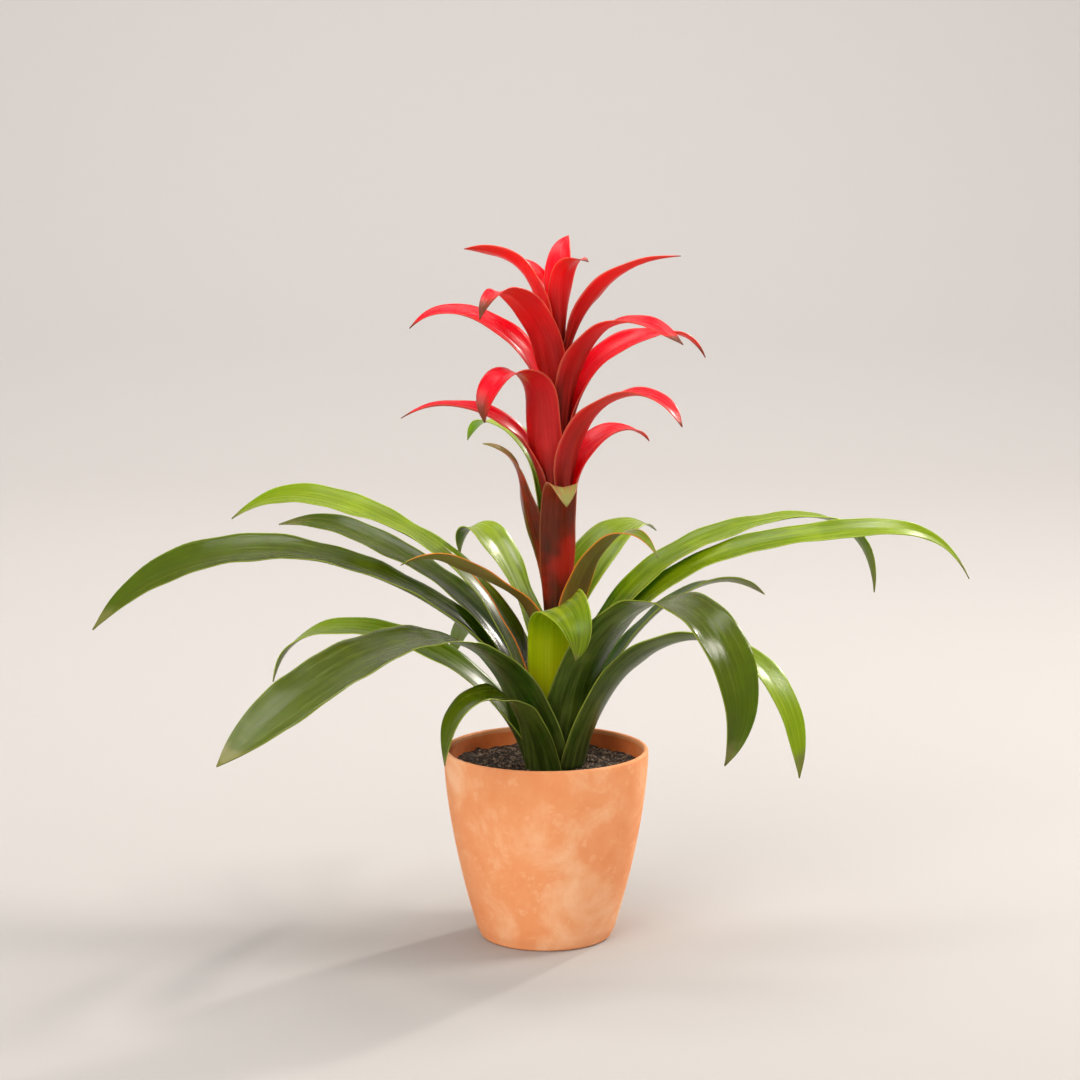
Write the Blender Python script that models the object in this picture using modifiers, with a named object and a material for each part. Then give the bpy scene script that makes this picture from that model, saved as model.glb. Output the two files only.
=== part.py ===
"""Potted bromeliad in flower: a thin-walled round pot, potting soil, a stem, strap leaves and bracts.

Units are metres, +Z is up, and the origin is the middle of the pot's foot.
Angles are in degrees. The front of the plant faces -Y.
"""
from collections import namedtuple
from math import cos, pi, radians, sin

import bmesh
import bpy
import numpy as np

MM = 0.001
MERGE = 0.05 * MM         # points closer than this become one

# ---- driving dimensions: pot -------------------------------------------------------------------
POT_HEIGHT = 131.0 * MM
POT_RIM_RADIUS = 70.0 * MM
POT_FOOT_RADIUS = 45.5 * MM
POT_WALL = 3.6 * MM
POT_FLOOR = 5.0 * MM
POT_FOOT_ROUND = 3.0 * MM
POT_BELLY = 1.65          # power of the wall's curve: 1 is a straight cone
POT_SIDES = 48

# ---- driving dimensions: soil and plant axis ---------------------------------------------------
SOIL_TOP = 119.0 * MM
SOIL_BUMP = 1.4 * MM
GAP = 0.3 * MM            # between pieces that touch
AXIS_X = 6.0 * MM         # the plant stands a little off the pot's middle
LEAN = 0.0081             # sideways shift of the stem for each unit of height
POCKET_RADIUS = 24.5 * MM
POCKET_DEPTH = 10.0 * MM
POCKET_SIDES = 32

# ---- driving dimensions: leaves and bracts -----------------------------------------------------
LEAF_THICKNESS = 0.7 * MM
BRACT_THICKNESS = 0.6 * MM
LEAF_ROWS, LEAF_COLUMNS = 12, 5
BRACT_ROWS, BRACT_COLUMNS = 12, 4
PATH_STEPS = 96           # fine steps along a midrib, shared by every row count
SHEATH_REACH = 50         # mm over which a blade opens from a clasping sheath to its own channel
SHEATH_SHARE = 0.22       # share of the length over which the base differs in width
SHEATH_FADE = 1.5         # power with which that difference dies away
TIP_OPENING = 0.5         # share of its trough that a blade has lost at the tip
FLATTEST_ARC = 0.02       # least half angle of the arc across a blade, radians
CLASP_ANGLE = 70          # a sheath goes at most this far round the stem to each side
TIP_SHARE = 0.02          # width left at the very tip

LEAF_CHANNEL = 30         # half angle of the trough across a leaf
BRACT_CHANNEL = 45
LEAF_FLARE = 0.15         # extra share of width where a leaf clasps the stem
BRACT_FLARE = -0.40       # a bract is narrower where it joins

# Leaf sheaths lie inside one another like rings. Layer 0 is the outermost and starts lowest, and each
# layer further in starts higher up the cone of the plant's foot.
OUTER_LAYER_RADIUS = 21.2 * MM
LAYER_STEP = 1.25 * MM
OUTER_LAYER_HEIGHT = -5.0 * MM
FOOT_CONE_SLOPE = 3.4     # rise for each unit that the foot narrows

# The flower stalk carries its bracts in tiers: (height of the tier, outer radius, step inwards), mm.
TIERS = {
    "stem": (90, 8.8, 1.1),
    "collar": (158, 11.2, 1.1),
    "low": (168, 9.2, 1.1),
    "mid": (225, 8.2, 1.1),
    "top": (275, 6.5, 0.9),
}
TIER_RISE = 2.0 * MM      # each bract further in starts this much higher

# radius and height are those of the sheath's base, in metres. The other fields are:
#   azimuth  direction in plan: 0 is +X, 90 is +Y, towards the back
#   length   along the midrib, mm
#   width    half width at the middle, mm
#   pitch    slope of the midrib at five equal stations: 90 is straight up, 0 level, -90 straight down
#   sweep    how far the direction has turned at the tip
#   roll     twist about the midrib at the middle and at the tip
#   taper    power of the tip: a high value keeps the blade a strap for longer
#   channel  half angle of the trough; flare is the change of width at the base
#   reach    length over which the sheath clasps the stem, mm
Blade = namedtuple(
    "Blade", "name radius height azimuth length width pitch sweep roll taper channel flare reach")


def leaf(name, layer, *shape, reach=SHEATH_REACH):
    radius = OUTER_LAYER_RADIUS - layer * LAYER_STEP
    height = OUTER_LAYER_HEIGHT + layer * LAYER_STEP * FOOT_CONE_SLOPE
    return Blade("leaf_" + name, radius, height, *shape, LEAF_CHANNEL, LEAF_FLARE, reach)


def bract(name, tier, layer, *shape, reach=SHEATH_REACH):
    height, outer, step = TIERS[tier]
    prefix = "stem_bract_" if tier == "stem" else "bract_"
    return Blade(prefix + name, (outer - layer * step) * MM, height * MM + layer * TIER_RISE, *shape,
                 BRACT_CHANNEL, BRACT_FLARE, reach)


LEAVES = [
    # leaves on the left
    leaf("left_long", 3, 175, 395, 22, (85, 40, 15, -15, -50), -10, (-5, -60), 5),
    leaf("left_back_long", 4, 146, 290, 15, (85, 50, 25, 15, -15), 0, (0, -40), 5),
    leaf("left_high", 5, 155, 338, 19, (85, 56, 25, 6, -35), -10, (5, -50), 4),
    leaf("left_short", 6, 180, 150, 15, (85, 80, 65, 50, 40), -5, (-10, 5), 4),
    leaf("left_inner", 9, 205, 195, 12, (90, 85, 35, 25, -15), 20, (5, 45), 3),
    leaf("left_low", 1, 175, 240, 18, (75, 45, 20, -10, -75), -15, (-10, -5), 6),
    leaf("front_left_broad", 2, 230, 380, 20, (80, 35, 0, -15, -20), 10, (-10, -30), 8),
    leaf("front_curled", 0, 245, 195, 13, (75, 50, 15, -10, -90), -5, (-20, 30), 6),
    # leaves on the right
    leaf("right_long", 5, 5, 400, 14, (85, 45, 10, -5, -50), 45, (20, 65), 2.5),
    leaf("right_arched", 6, 20, 335, 14, (85, 55, 20, -5, -90), -5, (10, -15), 6),
    leaf("right_slim", 3, 10, 200, 17, (85, 60, 45, 15, -35), 15, (-10, -15), 6),
    leaf("right_low", 1, 330, 275, 16, (80, 52, 10, -45, -90), -10, (-15, 20), 6),
    leaf("right_inner", 10, 320, 200, 12, (85, 85, 60, 20, -40), -25, (-10, 25), 2.5, reach=90),
    leaf("front_right_broad", 4, 305, 320, 20, (85, 50, 15, -50, -125), 5, (0, 20), 6),
    # leaves round the middle
    leaf("front_folded", 7, 265, 170, 17.5, (85, 82, 50, -10, -120), 45, (15, 45), 6),
    leaf("back_right", 11, 50, 190, 17, (90, 80, 45, 15, -30), 5, (20, 10), 4.5, reach=110),
    leaf("back_flopped", 8, 135, 185, 19, (90, 75, 55, 35, -90), -5, (25, -20), 6, reach=80),
    # leaves at the back
    leaf("back_low", 0, 95, 260, 15, (75, 30, -5, -35, -60), 10, (0, 0), 5),
    leaf("back_right_low", 1, 70, 180, 12, (80, 45, 20, -10, -40), 5, (0, 0), 5),
    leaf("back_left_low", 2, 115, 240, 13, (80, 40, 10, -25, -50), -10, (0, 0), 5),
]

BRACTS = [
    bract("front", "stem", 0, 280, 132, 13, (90, 90, 88, 60, -75), 0, (0, 0), 10, reach=65),
    bract("left", "stem", 1, 168, 145, 12, (90, 82, 75, 75, 10), 30, (35, -25), 5),
    bract("right", "stem", 2, 10, 70, 7, (90, 90, 90, 85, 80), 0, (0, 0), 3),
    bract("collar_green", "collar", 0, 140, 130, 12, (85, 80, 40, 5, -60), -10, (5, 0), 5),
    bract("collar_back", "collar", 1, 80, 110, 9, (85, 80, 50, 15, -35), 5, (0, 0), 4),
    bract("low_back_right", "low", 0, 25, 105, 14, (80, 80, 45, 5, -45), 5, (10, 0), 5),
    bract("low_right", "low", 1, 330, 155, 17, (85, 80, 45, 0, -60), 0, (0, 5), 5),
    bract("low_left", "low", 2, 185, 145, 12, (80, 70, 35, 5, -30), 0, (-15, 0), 4),
    bract("low_front", "low", 3, 225, 155, 14, (80, 80, 80, -15, -100), -20, (20, -40), 6),
    bract("mid_back_right", "mid", 0, 20, 145, 12, (80, 65, 25, 0, -60), 0, (20, -10), 4),
    bract("mid_right", "mid", 1, 325, 150, 15, (85, 75, 40, -5, -30), -5, (0, 20), 4),
    bract("mid_left", "mid", 2, 175, 145, 14, (80, 70, 40, 10, -45), 5, (-20, -15), 4),
    bract("mid_front", "mid", 3, 235, 160, 12, (85, 80, 45, 15, -60), 5, (20, 0), 6),
    bract("mid_back", "mid", 1, 110, 80, 8, (80, 75, 50, 15, -30), -5, (0, 0), 4),
    bract("top_left", "top", 0, 190, 110, 13, (80, 80, 65, 25, 0), 5, (10, 35), 4),
    bract("top_right", "top", 1, 345, 115, 12, (75, 65, 45, 20, 5), 0, (-20, -10), 3),
    bract("top_back_left", "top", 2, 135, 85, 10, (85, 85, 65, 35, 5), 0, (5, 0), 4),
    bract("top_front", "top", 3, 300, 90, 10, (85, 90, 85, 25, -10), 0, (0, 0), 5),
    bract("top_back", "top", 4, 95, 90, 10, (85, 85, 75, 45, 20), -30, (0, 0), 5),
]

# ---- driving dimensions: stem, as (height above the soil, radius) in mm --------------------------
STEM_SIDES = 20
STEM_TIP_ROUND = 0.6      # height of the stem's pointed end, in its last radius
STEM_OUTLINE = [
    (-9.7, 19.4), (-4.5, 19.6), (10, 15.4), (24, 11.2), (34, 7.4), (42, 6.0), (84, 5.6),
    (88, 6.2), (92, 5.0), (152, 5.0), (157, 6.4), (166, 6.2), (171, 4.5), (219, 4.2),
    (224, 5.0), (229, 3.7), (271, 3.4), (275, 4.4), (283, 1.9), (298, 1.2),
]


# ---- scene helpers -----------------------------------------------------------------------------
def clear_scene():
    for old in list(bpy.data.objects):
        bpy.data.objects.remove(old, do_unlink=True)


def new_collection(name):
    collection = bpy.data.collections.new(name)
    bpy.context.scene.collection.children.link(collection)
    return collection


def principled(name, colour, roughness, metallic=0.0):
    material = bpy.data.materials.new(name)
    material.use_nodes = True
    shader = material.node_tree.nodes["Principled BSDF"]
    shader.inputs["Base Color"].default_value = (*colour, 1.0)
    shader.inputs["Roughness"].default_value = roughness
    shader.inputs["Metallic"].default_value = metallic
    return material


def object_from_bmesh(name, bm, collection, material=None):
    mesh = bpy.data.meshes.new(name)
    bm.to_mesh(mesh)
    bm.free()
    thing = bpy.data.objects.new(name, mesh)
    collection.objects.link(thing)
    if material:
        mesh.materials.append(material)
    return thing


def smooth(thing, sharp_angle=40.0):
    thing.data.shade_smooth()
    thing.data.set_sharp_from_angle(angle=radians(sharp_angle))


def profile_bmesh(points):
    """An open outline in the XZ plane, as a chain of edges."""
    bm = bmesh.new()
    chain = [bm.verts.new((radius, 0.0, height)) for radius, height in points]
    for first, second in zip(chain, chain[1:]):
        bm.edges.new((first, second))
    return bm


def turned(name, points, collection, material, steps):
    """A turned solid: the outline goes round the Z axis with a Screw modifier."""
    thing = object_from_bmesh(name, profile_bmesh(points), collection, material)
    screw = thing.modifiers.new("turn", "SCREW")
    screw.steps = screw.render_steps = steps
    screw.use_merge_vertices = True
    screw.merge_threshold = MERGE
    screw.use_smooth_shade = True
    return thing


# ---- pot ---------------------------------------------------------------------------------------
def pot_outer_radius(height):
    """The wall bellies out from the foot and stands upright at the rim."""
    share = height / POT_HEIGHT
    return POT_FOOT_RADIUS + (POT_RIM_RADIUS - POT_FOOT_RADIUS) * (1 - (1 - share) ** POT_BELLY)


def pot_inner_radius(height):
    return pot_outer_radius(height) - POT_WALL


def pot_profile():
    lip = POT_WALL / 2
    lip_height = POT_HEIGHT - lip
    inner = [(pot_inner_radius(z), z) for z in np.linspace(POT_FLOOR, lip_height, 7)]
    centre = POT_RIM_RADIUS - lip
    over_lip = [(centre - lip * cos(a), lip_height + lip * sin(a)) for a in (0.25 * pi, 0.5 * pi, 0.75 * pi)]
    outer = [(pot_outer_radius(z), z) for z in np.linspace(lip_height, POT_FOOT_ROUND, 9)]
    corner_x = pot_outer_radius(POT_FOOT_ROUND) - POT_FOOT_ROUND
    corner = [(corner_x + POT_FOOT_ROUND * cos(a), POT_FOOT_ROUND - POT_FOOT_ROUND * sin(a))
              for a in (0.25 * pi, 0.5 * pi)]
    return [(0.0, POT_FLOOR)] + inner + over_lip + outer + corner + [(0.0, 0.0)]


def make_pot(collection):
    clay = principled("terracotta", (0.80, 0.36, 0.16), 0.75)
    return turned("pot", pot_profile(), collection, clay, POT_SIDES)


# ---- soil --------------------------------------------------------------------------------------
def soil_bump(x, y):
    """A low, uneven surface."""
    waves = sin(150 * x + 0.6) * cos(130 * y) + 0.6 * sin(260 * y + 1.1) * cos(220 * x - 0.4)
    return SOIL_BUMP * waves / 1.6


def make_soil(collection, cutters):
    """A turned block that fills the pot, with an uneven top and a pocket for the plant's foot."""
    mix = principled("potting_soil", (0.035, 0.022, 0.016), 0.95)
    bottom = POT_FLOOR + GAP
    wall = [(pot_inner_radius(z) - GAP, z) for z in np.linspace(SOIL_TOP, bottom, 6)]
    top = [(wall[0][0] * share, SOIL_TOP) for share in (0.0, 0.2, 0.45, 0.65, 0.82)]
    bm = profile_bmesh(top + wall + [(0.0, bottom)])
    bmesh.ops.spin(bm, geom=list(bm.verts) + list(bm.edges), cent=(0, 0, 0), axis=(0, 0, 1),
                   angle=2 * pi, steps=POT_SIDES, use_merge=True)
    bmesh.ops.remove_doubles(bm, verts=bm.verts, dist=MERGE)
    for vert in bm.verts:
        if vert.co.z > SOIL_TOP - MM and vert.co.xy.length < wall[0][0] - MM:
            vert.co.z += soil_bump(vert.co.x, vert.co.y)
    bmesh.ops.recalc_face_normals(bm, faces=bm.faces)
    soil = object_from_bmesh("soil", bm, collection, mix)

    bm = bmesh.new()
    bmesh.ops.create_cone(bm, cap_ends=True, segments=POCKET_SIDES, radius1=POCKET_RADIUS,
                          radius2=POCKET_RADIUS, depth=3 * POCKET_DEPTH)
    bmesh.ops.translate(bm, verts=bm.verts, vec=(AXIS_X, 0, SOIL_TOP - POCKET_DEPTH + 1.5 * POCKET_DEPTH))
    pocket = object_from_bmesh("pocket_cutter", bm, cutters)
    pocket.hide_render = True
    pocket.display_type = "WIRE"
    cut = soil.modifiers.new("pocket", "BOOLEAN")
    cut.operation = "DIFFERENCE"
    cut.object = pocket
    return soil


# ---- stem --------------------------------------------------------------------------------------
def axis_point(height):
    """Middle of the stem at a height above the soil."""
    return np.array([AXIS_X + LEAN * height, 0.0, SOIL_TOP + height])


def make_stem(collection):
    """A short thick foot that narrows into the flower stalk, with a swelling where bracts join."""
    bark = principled("stem", (0.12, 0.05, 0.02), 0.6)
    outline = [(height * MM, radius * MM) for height, radius in STEM_OUTLINE]
    points = [(0.0, outline[0][0])] + [(radius, height) for height, radius in outline]
    points = points + [(0.0, outline[-1][0] + outline[-1][1] * STEM_TIP_ROUND)]
    bm = profile_bmesh(points[::-1])
    bmesh.ops.spin(bm, geom=list(bm.verts) + list(bm.edges), cent=(0, 0, 0), axis=(0, 0, 1),
                   angle=2 * pi, steps=STEM_SIDES, use_merge=True)
    bmesh.ops.remove_doubles(bm, verts=bm.verts, dist=MERGE)
    for vert in bm.verts:
        middle = axis_point(vert.co.z)
        vert.co.x += middle[0]
        vert.co.z = middle[2]
    bmesh.ops.recalc_face_normals(bm, faces=bm.faces)
    stem = object_from_bmesh("stem", bm, collection, bark)
    smooth(stem, 50.0)
    return stem


# ---- leaves and bracts -------------------------------------------------------------------------
def spline(stations, share):
    """Smooth curve through evenly spaced values, read at shares from 0 to 1."""
    knots = np.array(stations, float)
    place = np.clip(share, 0, 1) * (len(knots) - 1)
    low = np.minimum(place.astype(int), len(knots) - 2)
    t = place - low
    before = knots[np.maximum(low - 1, 0)]
    start, end = knots[low], knots[low + 1]
    after = knots[np.minimum(low + 2, len(knots) - 1)]
    return 0.5 * (2 * start + (end - before) * t + (2 * before - 5 * start + 4 * end - after) * t ** 2
                  + (3 * start - before - 3 * end + after) * t ** 3)


def heading(blade, share):
    """Unit vectors along the midrib."""
    slope = np.radians(np.minimum(spline(blade.pitch, share), 90))
    turn = np.radians(blade.azimuth + blade.sweep * share ** 2)
    return np.stack([np.cos(slope) * np.cos(turn), np.cos(slope) * np.sin(turn), np.sin(slope)], 1)


def midrib(blade):
    """Points along the midrib at PATH_STEPS equal steps."""
    middles = (np.arange(PATH_STEPS) + 0.5) / PATH_STEPS
    steps = heading(blade, middles) * (blade.length * MM / PATH_STEPS)
    out = radians(blade.azimuth)
    start = axis_point(blade.height) + blade.radius * np.array([cos(out), sin(out), 0.0])
    return np.vstack([start, start + np.cumsum(steps, 0)])


def blade_surface(blade, rows, columns):
    """Middle surface of a leaf, as an array of points [row from base to tip, column across]."""
    share = np.linspace(0, 1, rows + 1)
    along = heading(blade, share)
    turn = np.radians(blade.azimuth + blade.sweep * share ** 2)
    level = np.stack([-np.sin(turn), np.cos(turn), np.zeros_like(turn)], 1)
    upper = np.cross(along, level)
    twist = np.radians(spline((0,) + blade.roll, share))[:, None]
    across = level * np.cos(twist) + upper * np.sin(twist)
    upper = upper * np.cos(twist) - level * np.sin(twist)

    flare = 1 + blade.flare * np.clip(1 - share / SHEATH_SHARE, 0, 1) ** SHEATH_FADE
    half_width = blade.width * MM * flare * np.maximum(1 - share ** blade.taper, TIP_SHARE)
    clasp = np.clip(1 - share * blade.length / blade.reach, 0, 1)
    clasp = clasp * clasp * (3 - 2 * clasp)
    widest = blade.radius * radians(CLASP_ANGLE)
    half_width = half_width * (1 - clasp) + np.minimum(half_width, widest) * clasp
    trough = radians(blade.channel) * (1 - TIP_OPENING * share)
    half_angle = np.maximum(half_width / blade.radius * clasp + trough * (1 - clasp), FLATTEST_ARC)

    radius = (half_width / half_angle)[:, None]
    angle = half_angle[:, None] * np.linspace(-1, 1, columns + 1)[None, :]
    sideways = (radius * np.sin(angle))[:, :, None] * across[:, None, :]
    rise = (radius * (1 - np.cos(angle)))[:, :, None] * upper[:, None, :]
    centre = midrib(blade)[np.arange(rows + 1) * (PATH_STEPS // rows)]
    return centre[:, None, :] + sideways + rise


def make_blade(blade, collection, material, rows, columns, thickness):
    """A grid bent to the blade's middle surface, then thickened both ways."""
    surface = blade_surface(blade, rows, columns)
    bm = bmesh.new()
    bmesh.ops.create_grid(bm, x_segments=columns, y_segments=rows, size=0.5)
    for vert in bm.verts:
        column = round((vert.co.x + 0.5) * columns)
        row = round((vert.co.y + 0.5) * rows)
        vert.co = surface[row, column]
    thing = object_from_bmesh(blade.name, bm, collection, material)
    thing.data.shade_smooth()
    thicken = thing.modifiers.new("thickness", "SOLIDIFY")
    thicken.thickness = thickness
    thicken.offset = 0.0
    return thing


def main():
    clear_scene()
    parts = new_collection("potted_bromeliad")
    cutters = new_collection("cutters")
    make_pot(parts)
    make_soil(parts, cutters)
    make_stem(parts)
    for index, blade in enumerate(LEAVES):
        shade = 1.0 + 0.25 * sin(2.4 * index)
        green = principled(blade.name, (0.085 * shade, 0.15 * shade, 0.012), 0.35)
        make_blade(blade, parts, green, LEAF_ROWS, LEAF_COLUMNS, LEAF_THICKNESS)
    for blade in BRACTS:
        red = principled(blade.name, (0.62, 0.006, 0.012), 0.4)
        make_blade(blade, parts, red, BRACT_ROWS, BRACT_COLUMNS, BRACT_THICKNESS)


main()
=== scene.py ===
# %% [markdown]
# # A potted bromeliad
# A bromeliad is a rosette of strap leaves with a stalk of coloured bracts in its middle. Every leaf and
# every bract is the same kind of thing: a thin blade that clasps the stem, opens into a shallow trough,
# arches over and ends in a point. So this lesson makes one blade function and feeds it a table of blades,
# then dresses them with wax, veins and colour, and adds a clay pot and loose potting soil.

# %% Load the imported model
from collections import namedtuple
from math import cos, pi, radians, sin

import bmesh
import bpy
import numpy as np
from mathutils import Matrix, Vector, noise


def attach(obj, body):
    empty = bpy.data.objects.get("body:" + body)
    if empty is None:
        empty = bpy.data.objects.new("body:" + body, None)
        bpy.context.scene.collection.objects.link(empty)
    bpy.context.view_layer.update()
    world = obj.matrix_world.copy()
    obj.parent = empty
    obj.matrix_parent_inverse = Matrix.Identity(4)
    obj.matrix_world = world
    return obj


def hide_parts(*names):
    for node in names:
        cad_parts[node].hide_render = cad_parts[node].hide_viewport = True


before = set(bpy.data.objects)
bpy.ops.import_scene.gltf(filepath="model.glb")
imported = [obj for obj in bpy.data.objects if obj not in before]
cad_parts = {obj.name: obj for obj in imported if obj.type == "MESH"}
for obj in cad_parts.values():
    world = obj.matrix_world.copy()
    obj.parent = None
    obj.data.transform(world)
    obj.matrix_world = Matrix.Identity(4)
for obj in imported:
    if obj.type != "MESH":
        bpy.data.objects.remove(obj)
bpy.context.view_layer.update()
MM = 0.001

# %% [markdown]
# ## Camera
# A portrait lens from two metres away keeps the leaves in proportion. It looks slightly down, so the soil
# shows inside the pot's rim. The camera comes first, because everything else is judged through it.

# %% Place the camera
camera_data = bpy.data.cameras.new("camera")
camera_data.lens = 100
camera_data.sensor_width = 36
camera = bpy.data.objects.new("camera", camera_data)
camera.location = (-0.0041, -1.9989, 0.6016)
camera.rotation_euler = (radians(80.71), 0, 0)
bpy.context.scene.collection.objects.link(camera)
bpy.context.scene.camera = camera
print("camera", tuple(round(v, 3) for v in camera.location))

# %% [markdown]
# ## Colours and nodes
# Colours are picked as the sRGB hex values that a paint program shows, but shaders work in linear light, so
# one function converts them. A second small function adds a shader node, sets its options and plugs in its
# inputs, which keeps each material readable as a list of steps.


# %% Turn a hex colour into linear light
def colour(code):
    parts = [int(code[i:i + 2], 16) / 255 for i in (1, 3, 5)]
    linear = [c / 12.92 if c <= 0.04045 else ((c + 0.055) / 1.055) ** 2.4 for c in parts]
    return (*linear, 1.0)


print("leaf green in linear light:", [round(c, 3) for c in colour("#4d6a10")])


# %% Add one shader node
def add(tree, kind, links=None, stops=(), output=None, **settings):
    """Adds a node and returns one of its outputs, the first unless it is named.

    links maps an input, by name or by its place among the live inputs, to a number, a hex colour or another
    node's output. stops are (position, hex colour) pairs for a colour ramp.
    """
    node = tree.nodes.new("ShaderNode" + kind)
    for key, value in settings.items():
        setattr(node, key, value)
    live = [socket for socket in node.inputs if socket.enabled]
    for key, value in (links or {}).items():
        socket = live[key] if isinstance(key, int) else node.inputs[key]
        if isinstance(value, bpy.types.NodeSocket):
            tree.links.new(value, socket)
        else:
            socket.default_value = colour(value) if isinstance(value, str) else value
    if stops:
        band = node.color_ramp.elements
        while len(band) < len(stops):
            band.new(0.5)
        for element, (position, code) in zip(band, stops):
            element.position = position
            element.color = colour(code)
    if output:
        return node.outputs[output]
    return next(socket for socket in node.outputs if socket.enabled)


def new_material(name):
    material = bpy.data.materials.new(name)
    material.use_nodes = True
    tree = material.node_tree
    return material, tree, tree.nodes["Principled BSDF"]


SOFT = {"interpolation_type": "SMOOTHSTEP"}
TINT = {"data_type": "RGBA"}
DARKEN = {"data_type": "RGBA", "blend_type": "MULTIPLY"}
print("blend settings:", SOFT, TINT, DARKEN)

# %% [markdown]
# ## The blade finish: living leaf
# A bromeliad leaf is a waxy strap with dozens of fine parallel veins, a paler base where it clasps its
# neighbours and a dry tip. Wax gives a broad soft highlight that the veins break into streaks, and because
# the blade is under a millimetre thick, light from behind glows through it. The pattern has to follow each
# blade as it bends, so every blade carries two UV maps: "share" runs 0 to 1 across and along, for colour
# zones, and "real" is in decimetres, so that veins keep their true spacing.

# %% Blade finish
VEIN_MM = 1.1             # spacing of the parallel veins
BLOTCH_MM = 28            # soft lighter and darker clouds
STREAK_MM = 3.2           # the streaks that break up a highlight
BLUSH_MM = 30             # size of a patch of red on a brown bract

Finish = namedtuple("Finish", "zones streak margin margin_share roughness glow glow_colour dry blush")


def blade_colour(tree, finish, place, across, shifted, streaks, veins, clouds):
    """Base colour: zones from base to tip, then streaks, clouds, veins, blush, margin and dry tip."""
    base = add(tree, "ValToRGB", {0: shifted}, finish.zones)
    strong = add(tree, "MapRange", {0: streaks, 1: 0.42, 2: 0.72, 3: 0, 4: 0.5}, **SOFT)
    base = add(tree, "Mix", {0: strong, 1: base, 2: finish.streak}, **TINT)
    weak = add(tree, "MapRange", {0: clouds, 1: 0.5, 2: 0.75, 3: 0, 4: 0.3}, **SOFT)
    base = add(tree, "Mix", {0: weak, 1: base, 2: finish.streak}, **TINT)
    furrow = add(tree, "MapRange", {0: veins, 1: 0.35, 2: 0.65, 3: 0.2, 4: 0}, **SOFT)
    base = add(tree, "Mix", {0: furrow, 1: base, 2: "#6a6a50"}, **DARKEN)
    if finish.blush:
        patch = add(tree, "TexNoise", {"Vector": place, "Scale": 1000 / BLUSH_MM, "Detail": 2})
        patch = add(tree, "MapRange", {0: patch, 1: 0.44, 2: 0.7, 3: 0, 4: 0.8}, **SOFT)
        base = add(tree, "Mix", {0: patch, 1: base, 2: finish.blush}, **TINT)
    edge = add(tree, "Math", {0: across, 1: 0.5}, operation="SUBTRACT")
    edge = add(tree, "Math", {0: edge}, operation="ABSOLUTE")
    edge = add(tree, "MapRange", {0: edge, 1: 0.5 - finish.margin_share, 2: 0.5, 3: 0, 4: 0.85}, **SOFT)
    base = add(tree, "Mix", {0: edge, 1: base, 2: finish.margin}, **TINT)
    dry = add(tree, "MapRange", {0: shifted, 1: 0.9, 2: 1.0}, **SOFT)
    return add(tree, "Mix", {0: dry, 1: base, 2: finish.dry}, **TINT)


def blade_finish(name, finish):
    material, tree, shader = new_material(name)
    share = add(tree, "UVMap", uv_map="share")
    real = add(tree, "UVMap", uv_map="real")
    across = add(tree, "SeparateXYZ", {0: share}, output="X")
    along = add(tree, "SeparateXYZ", {0: share}, output="Y")

    # clouds shift where the zones meet, so that no two blades are alike
    place = add(tree, "TexCoord", output="Object")
    clouds = add(tree, "TexNoise", {"Vector": place, "Scale": 1000 / BLOTCH_MM, "Detail": 3})
    shift = add(tree, "MapRange", {0: clouds, 1: 0.3, 2: 0.7, 3: -0.05, 4: 0.05}, **SOFT)
    shifted = add(tree, "Math", {0: along, 1: shift}, operation="ADD")

    # streaks and veins are noise that is fine across the blade and long along it
    drawn = add(tree, "Mapping", {"Vector": real, "Scale": (100 / STREAK_MM, 1.4, 1)})
    streaks = add(tree, "TexNoise", {"Vector": drawn, "Scale": 1.0, "Detail": 5, "Roughness": 0.65})
    comb = add(tree, "Mapping", {"Vector": real, "Scale": (100 / VEIN_MM, 0.35, 1)})
    veins = add(tree, "TexNoise", {"Vector": comb, "Scale": 1.0, "Detail": 2, "Roughness": 0.5})
    base = blade_colour(tree, finish, place, across, shifted, streaks, veins, clouds)
    tree.links.new(base, shader.inputs["Base Color"])

    dull, gloss = finish.roughness + 0.12, finish.roughness - 0.06
    rough = add(tree, "MapRange", {0: streaks, 1: 0.35, 2: 0.7, 3: gloss, 4: dull}, **SOFT)
    tree.links.new(rough, shader.inputs["Roughness"])
    shader.inputs["IOR"].default_value = 1.45
    shader.inputs["Specular IOR Level"].default_value = 0.2
    shader.inputs["Subsurface Weight"].default_value = finish.glow
    shader.inputs["Subsurface Radius"].default_value = finish.glow_colour
    shader.inputs["Subsurface Scale"].default_value = 4 * MM
    ridges = add(tree, "Bump", {"Height": veins, "Strength": 0.35, "Distance": 0.12 * MM})
    waves = add(tree, "Bump", {"Height": streaks, "Strength": 0.5, "Distance": 0.3 * MM, "Normal": ridges})
    tree.links.new(waves, shader.inputs["Normal"])
    return material


print("veins every", VEIN_MM, "mm, streaks every", STREAK_MM, "mm")

# %% [markdown]
# Leaves differ with age: outer ones are deep olive green, younger ones brighter, and the youngest, just
# below the flower stalk, already turn orange along the margin and brown at the base. Undersides are duller,
# because they have less wax, and paler than the deep olive tops, though their colour is darkened with painted
# shade. Near the base the deep green and the undersides darken further, as painted shade where the sheaths
# crowd. The folded leaf in front wears a bright yellow-green on both faces, painted glow that stands in for
# light shining through it.

# %% Leaf finishes
GREEN_GLOW = (0.5, 0.9, 0.03)
RED_GLOW = (1.0, 0.06, 0.03)
OLD_TIP, RED_TIP, OLIVE_TIP = "#6e6a36", "#5e3a26", "#8a8a50"

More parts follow.
